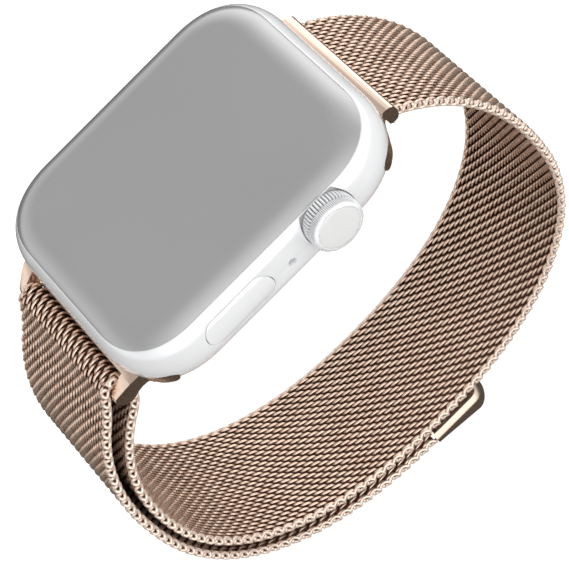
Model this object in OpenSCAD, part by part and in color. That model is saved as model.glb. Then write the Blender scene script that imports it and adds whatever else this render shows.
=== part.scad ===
// Rectangular smartwatch on a woven steel loop strap with a magnetic clasp.
// +X is the crown side, +Y points to 12 o'clock, +Z is the display's normal.
// The origin is the centre of the case's flat back plane.

/* [Case] */
// Half the case's width, across the wrist's axis
case_hx = 19; // [18.5:0.1:19.5]
// Half the case's length, along the strap
case_hy = 22; // [21.8:0.1:22.4]
// Corner radius of the case in plan
case_r = 10.8; // [10.4:0.1:11.2]
// Squareness of the corners, where 2 is a circular arc
corner_power = 2.37; // [2.2:0.01:2.5]
// Height of the case's widest line above its back
waist_z = 4.7; // [4.5:0.1:4.8]
// Height of the display crystal's top face above the back
top_z = 9.4; // [9.3:0.1:9.6]
// Height of the seam between case and crystal
seam_z = 7.9; // [7.8:0.1:8]
// Sideways reach of the side's curve from the waist down to the back
lower_reach = 2.9; // [2.7:0.1:3]
// Sideways reach of the side's curve from the waist up to the flat crystal
upper_reach = 5; // [4.8:0.1:5.2]

/* [Crown] */
// Crown axis, towards 12 o'clock
crown_y = 8.5; // [8:0.1:9]
// Crown axis, above the back
crown_z = 5.2; // [5:0.1:5.3]
// Radius of the crown's knurled drum
crown_r = 3.6; // [3.4:0.05:3.65]
// How far the crown stands out of the case's side
crown_out = 2.1; // [1.8:0.1:2.4]
// Travel of the crown and of the side button when pressed
press = 0.3; // [0.2:0.05:0.3]

/* [Side button] */
// Middle of the side button, along the case
button_y = -6.6; // [-7:0.1:-6.2]
// Length of the side button
button_len = 10.6; // [9.8:0.1:10.8]
// Height of the side button
button_h = 3.9; // [3.6:0.1:4]

/* [Strap] */
// Width of the woven strap
strap_w = 21.8; // [21:0.1:22]
// Thickness of the woven strap
strap_t = 1.35; // [1.2:0.05:1.4]
// Reach of the single layer on the 12 o'clock side
loop_right = 34.8; // [34:0.1:35.4]
// Reach of the inner layer on the 6 o'clock side
loop_left = 33.4; // [33:0.1:33.8]
// Reach of the outer layer on the 6 o'clock side
return_left = 35.4; // [35.2:0.1:36.2]
// Depth of the inner layer's lowest point under the back
loop_low = 52.9; // [52.5:0.1:53]
// Depth of the outer layer's lowest point under the back
return_low = 55.6; // [55.4:0.1:55.8]

/* [Clasp] */
// Length of the clasp along the strap
clasp_len = 9.9; // [9.6:0.1:10.4]
// Start of the clasp, where the strap is soldered to it
clasp_y0 = -1.6; // [-2:0.1:-1.2]
// Slope of the clasp's outer face against the case
clasp_slope = 8.5; // [7:0.5:9]

/* [Hidden] */

$fn = 48;
silver = [0.86, 0.87, 0.88];
rose_gold = [0.80, 0.62, 0.51];
dark_glass = [0.45, 0.46, 0.47];
seal_black = [0.12, 0.12, 0.13];
board_green = [0.12, 0.27, 0.20];
bright_metal = [0.74, 0.74, 0.75];
copper = [0.72, 0.45, 0.28];

corner_steps = 9;       // points in each corner of an outline, less one
curve_steps = 6;        // rings in each quarter of the side's curve
gap = 0.05;             // running clearance between a moving piece and its seat
reach = 60;             // longer than any cut needs to be
back_hx = 14.7;         // opening for the back cover
back_hy = 15.6;
back_t = 1.3;           // thickness of the back cover
cavity_hx = 15.6;       // room for the electronics
cavity_hy = 16.2;
cavity_top_hy = 18.6;   // above the strap slots the room is longer
slot_top_z = 4.4;
seat_z = 7.3;           // ledge that the crystal's seal lies on
seat_inset = 2.4;
slot_z = 2.2;           // middle of the strap slots
slot_y0 = 18.3;         // the slot's section is a stadium between these two centres
slot_y1 = 19.2;
slot_r = 1.15;
mouth_h = 1.1;          // height of the slot's open mouth
release_y = 18.15;      // release buttons, in the slots' floors
release_l = 6;
release_w = 1.4;
release_travel = 0.5;
latch_l = 5.4;
latch_w = 1.0;
crystal_r = 12.4;       // back crystal
crystal_dome = 1.3;
window_r = 11.2;
bushing_r = 1.9;
crown_seat = case_hx - 1.3;  // floor of the round recess behind the crown
mic_y = 1.75;
mic_z = 4.4;
mic_r = 0.4;
speaker_slot_l = 5.2;
speaker_slot_h = 0.9;
bar_y = -24.4;          // bar that the strap folds over
bar_z = 0.5;
bar_r = 0.7;
half_t = strap_t / 2;
loop_z = -26;           // level where the inner layer is widest
return_z = -25.5;
hinge_y = -13;          // line where the outer layer starts to peel
peel_gap = 0.3;

// ---- outlines and lofts ----

// One corner of an outline with half sizes hx, hy and corner radius r
function corner(hx, hy, r, a0) = [
  for (i = [0 : corner_steps])
    let (a = a0 + 90 * i / corner_steps, c = cos(a), s = sin(a))
    let (q = pow(pow(abs(c), corner_power) + pow(abs(s), corner_power), -1 / corner_power))
    [sign(cos(a0 + 45)) * (hx - r) + r * q * c, sign(sin(a0 + 45)) * (hy - r) + r * q * s]];

function outline(hx, hy, r) = [for (k = [0 : 3]) each corner(hx, hy, r, 90 * k)];

// Solid through rings of [inset, z] of the case's outline
module loft(rings) {
  n = 4 * (corner_steps + 1);
  last = len(rings) - 1;
  pts = [for (s = rings)
    for (p = outline(case_hx - s[0], case_hy - s[0], case_r - s[0])) [p[0], p[1], s[1]]];
  sides = [for (k = [0 : last - 1]) for (i = [0 : n - 1])
    let (j = (i + 1) % n)
    [k * n + i, (k + 1) * n + i, (k + 1) * n + j, k * n + j]];
  bottom = [for (i = [0 : n - 1]) i];
  top = [for (i = [n - 1 : -1 : 0]) last * n + i];
  polyhedron(concat(pts), concat(sides, [bottom, top]), convexity = 6);
}

// Straight-sided solid with the case's kind of outline
module tablet(hx, hy, z0, z1) {
  r = max(2, case_r - (case_hx - hx));
  translate([0, 0, z0]) linear_extrude(z1 - z0) polygon(outline(hx, hy, r));
}

module ring_tablet(hx, hy, width, z0, z1) {
  difference() {
    tablet(hx, hy, z0, z1);
    tablet(hx - width, hy - width, z0 - 1, z1 + 1);
  }
}

// Sideways inset of the case's side at height z
function side_inset(z) = z < waist_z
  ? lower_reach * (1 - sqrt(max(0, 1 - pow((waist_z - z) / waist_z, 2))))
  : upper_reach * (1 - sqrt(max(0, 1 - pow((z - waist_z) / (top_z - waist_z), 2))));

// Rings of the side's curve between two angles, where 0 is the waist
function lower_rings(a0, a1) = [for (i = [0 : curve_steps])
  let (a = a0 + (a1 - a0) * i / curve_steps)
  [lower_reach * (1 - cos(a)), waist_z * (1 - sin(a))]];
function upper_rings(a0, a1) = [for (i = [0 : curve_steps])
  let (a = a0 + (a1 - a0) * i / curve_steps)
  [upper_reach * (1 - cos(a)), waist_z + (top_z - waist_z) * sin(a)]];
seam_angle = asin((seam_z - waist_z) / (top_z - waist_z));

module box(x0, x1, y0, y1, z0, z1) {
  translate([x0, y0, z0]) cube([x1 - x0, y1 - y0, z1 - z0]);
}

// Box with round ends, standing along Z, with its length along X
module stadium(l, w, z0, z1) {
  for (s = [-1, 1]) translate([s * (l - w) / 2, 0, z0]) cylinder(r = w / 2, h = z1 - z0);
  box(-(l - w) / 2, (l - w) / 2, -w / 2, w / 2, z0, z1);
}

// Cylinder along X between x0 and x1
module rod(r, x0, x1) {
  translate([x0, 0, 0]) rotate([0, 90, 0]) cylinder(r = r, h = x1 - x0);
}

module at_crown() {
  translate([0, crown_y, crown_z]) children();
}

// ---- display ----

module front_crystal() color(dark_glass) {
  union() {
    loft(upper_rings(seam_angle + 0.6, 90));
    tablet(case_hx - seat_inset - 0.1, case_hy - seat_inset - 0.1, seat_z + 0.2, seam_z + 0.1);
  }
}

module display_seal() color(seal_black) {
  ring_tablet(case_hx - seat_inset - 0.1, case_hy - seat_inset - 0.1, 0.8, seat_z, seat_z + 0.2);
}

module touch_layer() color([0.35, 0.33, 0.30]) {
  tablet(case_hx - 3.6, case_hy - 3.6, seat_z - 0.05, seat_z + 0.2);
}

module display_panel() color([0.08, 0.08, 0.09]) {
  tablet(case_hx - 3.8, case_hy - 3.8, seat_z - 0.75, seat_z - 0.05);
}

module display_flex() color(copper) {
  box(-7, 1, 15.95, 16.1, 3.2, 6.4);
  box(-7, 1, 15.95, 17.4, 6.4, 6.53);
}

// ---- case ----

// Section of a strap slot in the YZ plane, for the 12 o'clock side
module slot_section(r, mouth) {
  for (y = [slot_y0, slot_y1]) translate([y, slot_z]) circle(r = r);
  translate([slot_y0, slot_z - r]) square([slot_y1 - slot_y0, 2 * r]);
  translate([slot_y1, slot_z - mouth / 2]) square([6, mouth]);
}

// Lays a YZ section out and gives it a length along X
module along_x(l) {
  rotate([90, 0, 90]) linear_extrude(l, center = true) children();
}

module case() color(silver) {
  difference() {
    loft(concat([for (i = [curve_steps : -1 : 1]) lower_rings(0, 90)[i]],
      upper_rings(0, seam_angle)));
    tablet(case_hx - seat_inset, case_hy - seat_inset, seat_z, reach);
    tablet(cavity_hx, cavity_top_hy, slot_top_z, reach);
    tablet(cavity_hx, cavity_hy, back_t, slot_top_z + 1);
    tablet(back_hx, back_hy, -1, back_t + 1);
    for (m = [0, 1]) mirror([0, m, 0]) {
      along_x(reach) slot_section(slot_r, mouth_h);
      translate([0, release_y, 0]) stadium(release_l + 2 * gap, release_w + 2 * gap, -1, slot_z);
    }
    at_crown() {
      rod(crown_r + 0.12, crown_seat, case_hx + 4);
      rod(bushing_r, 12, case_hx);
    }
    translate([case_hx - 1.6, button_y, waist_z]) button_body(button_h + 2 * gap, button_len + 2 * gap, 4);
    translate([0, button_y, waist_z]) rod(1.25, 12, case_hx);
    translate([0, mic_y, mic_z]) rod(mic_r, 12, case_hx + 1);
    for (y = [-4.2, 4.2]) translate([0, y, waist_z]) speaker_slot();
  }
}

module speaker_slot() {
  translate([-13, 0, 0]) rotate([0, -90, 0]) rotate(90)
    stadium(speaker_slot_l, speaker_slot_h, 0, 8);
}

// ---- back ----

module back_cover() color([0.92, 0.92, 0.92]) {
  difference() {
    tablet(back_hx - gap, back_hy - gap, 0, back_t);
    translate([0, 0, -1]) cylinder(r = crystal_r + gap, h = 1.5);
    cylinder(r = window_r, h = 5);
  }
}

module back_seal() color(seal_black) {
  ring_tablet(cavity_hx - 0.1, cavity_hy - 0.1, 1.2, back_t, back_t + 0.2);
}

module back_crystal() color([0.16, 0.16, 0.17]) {
  rotate_extrude() polygon(concat([[0, 0.48], [0, -crystal_dome]],
    [for (q = [1 : 11]) [crystal_r * q / 11, -crystal_dome * (1 - pow(q / 11, 2))]],
    [[crystal_r, 0.48]]));
}

module sensor_board() color(board_green) {
  translate([0, 0, back_t + 0.25]) cylinder(r = 12, h = 0.5);
}

module sensor_leds() color([0.85, 0.95, 0.6]) {
  for (a = [45 : 90 : 315]) rotate(a) box(1.0, 2.8, -0.9, 0.9, 0.6, back_t + 0.25);
}

module photodiodes() color([0.2, 0.2, 0.3]) {
  for (a = [0 : 45 : 315]) rotate(a) box(6.4, 9, -1.3, 1.3, 0.6, back_t + 0.25);
}

module light_barrier() color(seal_black) {
  translate([0, 0, 0.55]) difference() {
    cylinder(r = 5.6, h = back_t + 0.25 - 0.55);
    translate([0, 0, -1]) cylinder(r = 4.6, h = 4);
  }
}

module charging_coil() color(copper) {
  translate([0, 0, 2.1]) difference() {
    cylinder(r = 11, h = 0.5);
    translate([0, 0, -1]) cylinder(r = 6.2, h = 3);
  }
}

module charging_magnet() color(bright_metal) {
  translate([0, 0, 2.1]) cylinder(r = 5.6, h = 0.5);
}

// ---- electronics ----

module main_board() color(board_green) {
  difference() {
    tablet(15.2, 15.9, 2.75, 3.15);
    for (p = screw_places) translate([p[0], p[1], 0]) cylinder(r = 0.55, h = 9, $fn = 24);
  }
}
screw_places = [[-12, 12.4], [12, 12.4], [-12, -12.4], [12, -12.4]];

module board_screws() color(bright_metal) {
  for (p = screw_places) translate([p[0], p[1], 2.2]) {
    cylinder(r = 0.5, h = 1, $fn = 24);
    translate([0, 0, 0.97]) cylinder(r = 0.9, h = 0.4, $fn = 24);
  }
}

module shield_can() color(bright_metal) {
  box(-9.8, 8, 4.6, 11, 3.2, 3.9);
}

module battery() color([0.20, 0.20, 0.22]) {
  box(-9.8, 8, -15.2, 4.2, 3.2, 6.4);
}

module haptic_motor() color(bright_metal) {
  box(-9.8, 8, 11.3, 15.9, 3.2, 6.3);
}

module speaker_module() color([0.15, 0.15, 0.16]) {
  box(-15, -10.2, -8, 8, 3.2, 6.4);
}

module speaker_mesh() color(seal_black) {
  box(-15.5, -15.1, -8, 8, 3.9, 5.6);
}

module microphone() color(bright_metal) {
  box(12.6, 15.4, mic_y - 1.4, mic_y + 1.4, 3.3, 5.5);
}

// ---- crown ----

module crown_drum() color(silver) {
  x0 = case_hx - 0.9;
  at_crown() rotate([0, 90, 0]) rotate_extrude()
    polygon([[0, x0], [crown_r - 0.25, x0], [crown_r, x0 + 0.25], [crown_r, case_hx + 1.1],
      [crown_r - 0.3, case_hx + 1.35], [0, case_hx + 1.35]]);
}

module crown_rim() color(silver) {
  x0 = case_hx + 1.35;
  x1 = case_hx + crown_out;
  at_crown() difference() {
    rod(crown_r - 0.15, x0, x1);
    rod(crown_r - 0.65, x0 + 0.25, x1 + 1);
  }
}

module crown_cap() color([0.9, 0.9, 0.9]) {
  at_crown() rod(crown_r - 0.65, case_hx + 1.6, case_hx + crown_out);
}

module crown_shaft() color(bright_metal) {
  at_crown() rod(1, 12.6, case_hx - 0.9);
}

module crown_bushing() color(bright_metal) {
  at_crown() difference() {
    rod(bushing_r, 15.7, crown_seat - 0.05);
    rod(1 + gap, 12, case_hx);
    rod(1.6, 16.1, 16.75);
  }
}

module crown_oring() color(seal_black) {
  at_crown() translate([16.42, 0, 0]) rotate([0, 90, 0]) rotate_extrude()
    translate([1.31, 0]) circle(r = 0.25, $fn = 24);
}

module crown_push_tip() color([0.85, 0.82, 0.75]) {
  at_crown() rod(1.2, 12.0, 12.6);
}

module crown_switch() color(bright_metal) {
  box(10.2, 11.6, crown_y - 2, crown_y + 2, crown_z - 1.7, crown_z + 1);
}

module crown_encoder() color([0.15, 0.15, 0.16]) {
  box(12.9, 15.3, crown_y - 1.6, crown_y + 1.6, 3.2, 4.1);
}

// ---- side button ----

// Stadium along Y, extruded d along X from the origin
module button_body(h, l, d) {
  rotate([90, 0, 90]) linear_extrude(d) {
    for (s = [-1, 1]) translate([s * (l - h) / 2, 0]) circle(d = h);
    square([l - h, h], center = true);
  }
}

module side_button() color(silver) {
  intersection() {
    translate([case_hx - 1.2, button_y, waist_z]) button_body(button_h, button_len, 4);
    loft(concat([for (i = [curve_steps : -1 : 1]) lower_rings(0, 90)[i]],
      upper_rings(0, seam_angle)));
  }
}

module side_button_stem() color(bright_metal) {
  translate([0, button_y, waist_z]) rod(0.9, 13.6, case_hx - 1.2);
}

module side_button_seal() color(seal_black) {
  translate([0, button_y, waist_z]) difference() {
    rod(1.24, 16.2, 16.8);
    rod(0.92, 16, 17);
  }
}

module side_button_switch() color(bright_metal) {
  box(11.4, 13.2, button_y - 2, button_y + 2, waist_z - 1.4, waist_z + 1.6);
}

// ---- strap release ----

module release_button(side) color(silver) {
  translate([0, side * release_y, 0]) stadium(release_l, release_w, 0.05, slot_z - slot_r - 0.02);
}

module latch(side) color(bright_metal) {
  translate([0, side * release_y, 0]) stadium(latch_l, latch_w, slot_z - slot_r + 0.24, slot_z - 0.25);
}

// Coil spring between the latch and the roof of its pocket
module latch_spring(side) color(bright_metal) {
  turns = 2.25;
  steps = 14;
  wire = 0.09;
  z0 = slot_z - 0.25 + wire;
  z1 = slot_z + 0.72 - wire;
  last = floor(turns * steps);
  ring = [for (k = [0 : last]) let (a = 360 * k / steps)
    for (i = [0 : 5]) let (b = 60 * i, q = 0.32 + wire * cos(b))
    [q * cos(a), q * sin(a), z0 + (z1 - z0) * k / last + wire * sin(b)]];
  sides = [for (k = [0 : last - 1]) for (i = [0 : 5]) let (j = (i + 1) % 6)
    [6 * k + i, 6 * k + j, 6 * k + 6 + j, 6 * k + 6 + i]];
  translate([0, side * release_y, 0])
    polyhedron(ring, concat(sides, [[5, 4, 3, 2, 1, 0]], [[for (i = [0 : 5]) 6 * last + i]]));
}

// ---- strap adapters ----

// Half width of the case's outline at slot height, at y
function slot_half(y) =
  let (inset = side_inset(slot_z), r = case_r - inset, dy = max(0, y - (case_hy - inset - r)) / r)
  case_hx - inset - r + r * pow(max(0, 1 - pow(dy, corner_power)), 1 / corner_power);

// Plan of an adapter: it follows the case's corner, then goes on through the points of tip
function adapter_plan(y_leave, tip) = let (half = concat(
    [for (y = [17 : 0.5 : y_leave]) [slot_half(y) - 0.1, y]], tip))
  concat(half, [for (i = [len(half) - 1 : -1 : 0]) [-half[i][0], half[i][1]]]);

tip_12 = let (w = strap_w / 2 + 0.3)
  [[slot_half(20.9) - 0.1, 20.9], [w + 0.75, 21.3], [w + 0.3, 21.7], [w, 22.3], [w, 25]];
tip_6 = let (w = strap_w / 2 + 1.4)
  [[w + 1.35, 20.5], [w + 1.15, 21.3], [w + 0.95, 22.3], [w + 0.65, 23.2], [w + 0.2, 24.3], [w - 0.3, 25.6]];

module latch_pocket() {
  translate([0, release_y, 0]) stadium(release_l + 4 * gap, release_w + 4 * gap, 0, slot_z - slot_r + 0.7);
  translate([0, release_y, 0]) stadium(latch_l + 2 * gap, latch_w + 2 * gap, 0, slot_z + 0.72);
}

module adapter_insert_section() {
  r = slot_r - gap;
  for (y = [slot_y0, slot_y1]) translate([y, slot_z]) circle(r = r);
  translate([slot_y0, slot_z - r]) square([slot_y1 - slot_y0, 2 * r]);
  translate([slot_y1, slot_z - mouth_h / 2 + gap]) square([2.8, mouth_h - 2 * gap]);
}

module adapter_top() color(rose_gold) {
  difference() {
    intersection() {
      along_x(reach) {
        adapter_insert_section();
        polygon([[21.9, 2.85], [21.9, 0.5], [22.3, 0], [23.1, 0.1], [23.65, 1.1], [23.6, 2.1], [23.3, 2.5], [22.6, 2.8]]);
      }
      translate([0, 0, -5]) linear_extrude(12) polygon(adapter_plan(20.5, tip_12));
    }
    latch_pocket();
    strap_room();
    translate([0, pin_at[0], pin_at[1]]) rod(0.36, -strap_w / 2 + 0.5, strap_w / 2 - 0.5);
  }
}

module adapter_bottom() color(rose_gold) mirror([0, 1, 0]) {
  bar = [-bar_y, bar_z];
  difference() {
    intersection() {
      union() {
        along_x(reach) adapter_insert_section();
        along_x(reach) translate([21.88, 1.1]) square([0.3, 1.7]);
        for (s = [-1, 1]) translate([s * (strap_w / 2 + 1.35), 0, 0]) along_x(2.2) {
          translate(bar) circle(r = 1);
          polygon([[21.88, 2.8], [22.6, 2.7], [-bar_y + 0.75, 1.16], bar, [-bar_y - 0.9, 0.06], [22.3, 0.75], [21.88, 1.1]]);
        }
        translate([0, bar[0], bar[1]]) rod(bar_r, -strap_w / 2 - 1, strap_w / 2 + 1);
      }
      translate([0, 0, -5]) linear_extrude(12) polygon(adapter_plan(20, tip_6));
    }
    latch_pocket();
  }
}

// ---- strap ----

function superellipse(a, b, p, c, t) = [
  c[0] + a * sign(cos(t)) * pow(abs(cos(t)), 2 / p),
  c[1] + b * sign(sin(t)) * pow(abs(sin(t)), 2 / p)];

function bezier(p, t) = pow(1 - t, 3) * p[0] + 3 * pow(1 - t, 2) * t * p[1]
  + 3 * (1 - t) * t * t * p[2] + pow(t, 3) * p[3];

strap_start_angle = 52.4;  // on the single layer's ellipse, inside the 12 o'clock adapter
join_angle = 137;          // where the inner layer leaves its ellipse for the slot
leave_angle = 143;         // where the outer layer meets its ellipse after the fold
wrap_r = bar_r + 0.08 + half_t;
wrap_exit = 155;           // direction from the bar's centre where the fold lets go

function loop_right_top(t) = superellipse(loop_right, 33.1, 2.3, [0, loop_z], t);
function loop_right_low(t) = superellipse(loop_right, loop_low + loop_z, 2.2, [0, loop_z], t);
function loop_left_low(t) = superellipse(loop_left, loop_low + loop_z, 2.2, [0, loop_z], t);
function loop_left_top(t) = superellipse(loop_left, 29, 2.3, [0, loop_z], t);
function return_top(t) = superellipse(return_left, 33.4, 2.3, [0, return_z], t);
function return_bottom(t) = superellipse(return_left, return_low + return_z, 2.3, [0, return_z], t);

// Centreline of the single layer and the inner layer, from the 12 o'clock adapter to the slot
loop_join = loop_left_top(join_angle);
slot_exit = [bar_y + wrap_r, bar_z];
loop_line = concat(
  [for (t = [strap_start_angle : -4 : 2]) loop_right_top(t)],
  [for (t = [0 : -5 : -85]) loop_right_low(t)],
  [for (t = [-90 : -5 : -175]) loop_left_low(t)],
  [for (t = [180 : -5 : join_angle + 2]) loop_left_top(t)],
  [for (k = [0 : 7]) bezier([loop_join, loop_join + [2.4, 2.2], slot_exit - [0, 2.6], slot_exit], k / 7)]);

// Centreline over the bar and back down outside, as far as the peel line
return_join = return_top(leave_angle);
wrap_end = [bar_y, bar_z] + wrap_r * [cos(wrap_exit), sin(wrap_exit)];
wrap_line = [for (a = [0 : wrap_exit / 8 : wrap_exit + 0.1]) [bar_y, bar_z] + wrap_r * [cos(a), sin(a)]];
return_line = concat(wrap_line,
  [for (k = [1 : 6]) bezier([wrap_end, wrap_end + 1.4 * [-sin(wrap_exit), cos(wrap_exit)],
    return_join + [1.6, 1.9], return_join], k / 7)],
  [for (t = [leave_angle : 4 : 176]) return_top(t)],
  [for (t = [180 : 5 : 225]) return_bottom(t)],
  [for (t = [229.5 : 4 : 246]) return_bottom(t)]);

// The rest of the outer layer, as far as the clasp
function return_z_at(y) = return_z
  - (return_low + return_z) * pow(1 - pow(abs(y) / return_left, 2.3), 1 / 2.3);
return_end = [hinge_y, return_z_at(hinge_y)];
hinge_at = [hinge_y - 0.01, return_end[1] - half_t - 0.02];  // on the outer skin
hinge_r = 0.17;            // cross wire that the tail bends about
tail_line = [for (k = [0 : 8]) let (y = hinge_y + peel_gap + (clasp_y0 - hinge_y - peel_gap) * k / 8)
  [y, return_z_at(y)]];

// Unit normal of a polyline at point i, to the left of its direction
function normal(line, i) =
  let (a = line[max(0, i - 1)], b = line[min(len(line) - 1, i + 1)], d = (b - a) / norm(b - a))
  line[i] == slot_exit ? [-1, 0] : [-d[1], d[0]];

module ribbon(line, half, w) {
  left = [for (i = [0 : len(line) - 1]) line[i] + half * normal(line, i)];
  right = [for (i = [len(line) - 1 : -1 : 0]) line[i] - half * normal(line, i)];
  along_x(w) polygon(concat(left, right));
}

// Room for the strap's first end inside the 12 o'clock adapter
module strap_room() {
  start = loop_line[0];
  away = loop_line[2] - loop_line[0];
  translate([0, start[0], start[1]]) rotate([atan2(away[1], away[0]), 0, 0])
    box(-strap_w / 2 - gap, strap_w / 2 + gap, -gap, 6, -half_t - gap, half_t + gap);
}

pin_at = loop_line[0] + 0.6 * (loop_line[2] - loop_line[0]) / norm(loop_line[2] - loop_line[0]);

module strap_anchor_pin() color(bright_metal) {
  translate([0, pin_at[0], pin_at[1]]) rod(0.35, -strap_w / 2 + 0.6, strap_w / 2 - 0.6);
}

module strap_loop() color(rose_gold) {
  difference() {
    ribbon(loop_line, half_t, strap_w);
    translate([0, pin_at[0], pin_at[1]]) rod(0.35, -strap_w / 2 + 0.6, strap_w / 2 - 0.6);
  }
}

module strap_return() color(rose_gold) union() {
  ribbon(concat(return_line, [return_end]), half_t, strap_w);
  translate([0, hinge_at[0], hinge_at[1]]) rod(hinge_r, -strap_w / 2, strap_w / 2);
}

module strap_tail() color(rose_gold) {
  ribbon(tail_line, half_t, strap_w);
}

// ---- clasp ----

clasp_y1 = clasp_y0 + clasp_len;
clasp_top = -(loop_low + half_t + 0.4);
clasp_start = return_z_at(clasp_y0) - half_t;      // outer face where the strap ends
magnet_y0 = clasp_y1 - 4.9;

// Height of the clasp's outer face at y
function clasp_face(y) = clasp_start - (y - clasp_y0) * tan(clasp_slope);

// Block with the clasp's plan: round corners at its free end
module clasp_plan(w, y0, y1, r, z0, z1) {
  translate([0, 0, z0]) linear_extrude(z1 - z0) {
    translate([-w / 2, y0]) square([w, y1 - r - y0]);
    translate([-w / 2 + r, y0]) square([w - 2 * r, y1 - y0]);
    for (s = [-1, 1]) translate([s * (w / 2 - r), y1 - r]) circle(r = r);
  }
}

module clasp_shell() color(rose_gold) {
  w = strap_w + 0.3;
  difference() {
    intersection() {
      along_x(w + 2) polygon([[clasp_y0, clasp_top], [clasp_y0, clasp_start],
        [clasp_y1 - 2.6, clasp_face(clasp_y1 - 2.6)], [clasp_y1 - 1.3, clasp_face(clasp_y1 - 2.6) + 0.25],
        [clasp_y1 - 0.4, clasp_face(clasp_y1 - 2.6) + 1.1], [clasp_y1, clasp_face(clasp_y1 - 2.6) + 2.2],
        [clasp_y1, clasp_top]]);
      clasp_plan(w, clasp_y0, clasp_y1, 2.6, -reach, 0);
    }
    box(-10, 10, magnet_y0 - 0.05, magnet_y0 + 3.05, clasp_face(magnet_y0) + 0.7, 0);
    clasp_plan(w - 1, clasp_y0 + 0.9, clasp_y1 - 0.9, 1.8, clasp_top - 0.4, 0);
  }
}

module clasp_magnets() color(bright_metal) {
  for (s = [-1, 1]) box(s * 5 - 4.9, s * 5 + 4.9, magnet_y0, magnet_y0 + 3,
    clasp_face(magnet_y0) + 0.7, clasp_top - 0.45);
}

module clasp_plate() color(rose_gold) {
  clasp_plan(strap_w - 0.8, clasp_y0 + 0.95, clasp_y1 - 0.95, 1.75, clasp_top - 0.4, clasp_top);
}

front_crystal();
display_panel();
touch_layer();
display_seal();
display_flex();
case();
back_cover();
back_seal();
back_crystal();
sensor_board();
sensor_leds();
photodiodes();
light_barrier();
charging_coil();
charging_magnet();
main_board();
shield_can();
board_screws();
battery();
haptic_motor();
speaker_module();
speaker_mesh();
microphone();
crown_drum();
crown_rim();
crown_cap();
crown_shaft();
crown_bushing();
crown_oring();
crown_push_tip();
crown_switch();
crown_encoder();
side_button();
side_button_stem();
side_button_seal();
side_button_switch();
release_button(1);  // release_button_top
release_button(-1);  // release_button_bottom
latch(1);  // latch_top
latch(-1);  // latch_bottom
latch_spring(1);  // latch_spring_top
latch_spring(-1);  // latch_spring_bottom
adapter_top();
adapter_bottom();
strap_anchor_pin();
strap_loop();
strap_return();
strap_tail();
clasp_shell();
clasp_magnets();
clasp_plate();
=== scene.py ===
import math

import bmesh
import bpy
import numpy as np
from mathutils import Matrix, Vector


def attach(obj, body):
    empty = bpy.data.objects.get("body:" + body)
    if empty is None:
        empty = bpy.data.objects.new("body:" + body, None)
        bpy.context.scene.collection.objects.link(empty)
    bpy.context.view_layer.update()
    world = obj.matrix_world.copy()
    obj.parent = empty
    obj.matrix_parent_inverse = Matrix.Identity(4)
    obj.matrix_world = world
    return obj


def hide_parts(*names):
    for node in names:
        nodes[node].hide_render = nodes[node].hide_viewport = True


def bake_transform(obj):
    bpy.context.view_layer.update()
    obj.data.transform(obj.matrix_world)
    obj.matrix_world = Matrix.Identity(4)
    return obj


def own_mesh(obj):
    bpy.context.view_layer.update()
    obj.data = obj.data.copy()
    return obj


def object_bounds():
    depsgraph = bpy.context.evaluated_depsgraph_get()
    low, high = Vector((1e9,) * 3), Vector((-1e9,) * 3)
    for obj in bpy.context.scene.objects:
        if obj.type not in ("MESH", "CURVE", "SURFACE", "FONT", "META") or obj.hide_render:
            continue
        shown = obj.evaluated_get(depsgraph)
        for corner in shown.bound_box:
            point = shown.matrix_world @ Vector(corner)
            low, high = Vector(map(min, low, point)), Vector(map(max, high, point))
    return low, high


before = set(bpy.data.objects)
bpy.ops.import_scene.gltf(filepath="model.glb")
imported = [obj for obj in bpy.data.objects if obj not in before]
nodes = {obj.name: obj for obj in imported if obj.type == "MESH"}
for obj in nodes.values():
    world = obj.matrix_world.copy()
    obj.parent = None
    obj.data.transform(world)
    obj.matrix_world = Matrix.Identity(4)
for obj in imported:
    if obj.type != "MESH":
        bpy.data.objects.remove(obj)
cad_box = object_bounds()
MM = 0.001

# ------------------------------------------------------------------ sizes in millimetres

CASE_HX, CASE_HY, CASE_R, CORNER_POWER = 19.0, 22.0, 10.8, 2.37
WAIST_Z, TOP_Z, SEAM_Z = 4.7, 9.4, 7.9
LOWER_REACH, UPPER_REACH = 2.9, 5.0
CROWN_Y, CROWN_Z, CROWN_R, CROWN_OUT = 8.5, 5.2, 3.6, 2.1
BUTTON_Y, BUTTON_LEN, BUTTON_H = -6.6, 10.6, 3.9
SLOT_Z, SLOT_Y0, SLOT_Y1, SLOT_R, MOUTH_H = 2.2, 18.3, 19.2, 1.15, 1.1
RELEASE_Y, RELEASE_L, RELEASE_W = 18.15, 6.0, 1.4
STRAP_W, STRAP_T = 21.8, 1.35
HALF_T = STRAP_T / 2
BAR_Y, BAR_Z, BAR_R = -24.4, 0.5, 0.7
CLASP_Y0, CLASP_LEN, CLASP_SLOPE, CLASP_END_R = -1.6, 9.9, 8.5, 2.6
SEAM_ANGLE = math.degrees(math.asin((SEAM_Z - WAIST_Z) / (TOP_Z - WAIST_Z)))

# the rooms inside the case, from the display down: half width, half length, floor and top
CASE_ROOMS = [
    (CASE_HX - 2.4, CASE_HY - 2.4, 7.3, 20),
    (15.6, 18.6, 4.4, 20),
    (15.6, 16.2, 1.3, 5.4),
    (14.7, 15.6, -2, 2.3),
]
SLOT_LIP, SLOT_GAP, INSERT_REACH = 0.5, 0.05, 22.3
CROWN_GAP, CROWN_HOLE_R = 0.12, 1.9
BUTTON_GAP, STEM_HOLE_R = 0.12, 1.25
MIC_Y, MIC_Z, MIC_R = 1.75, 4.4, 0.58
SPEAKER_Y, SPEAKER_LEN, SPEAKER_W = 4.2, 5.2, 0.9
DRUM_TEETH, RIM_TEETH = 48, 96

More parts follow.
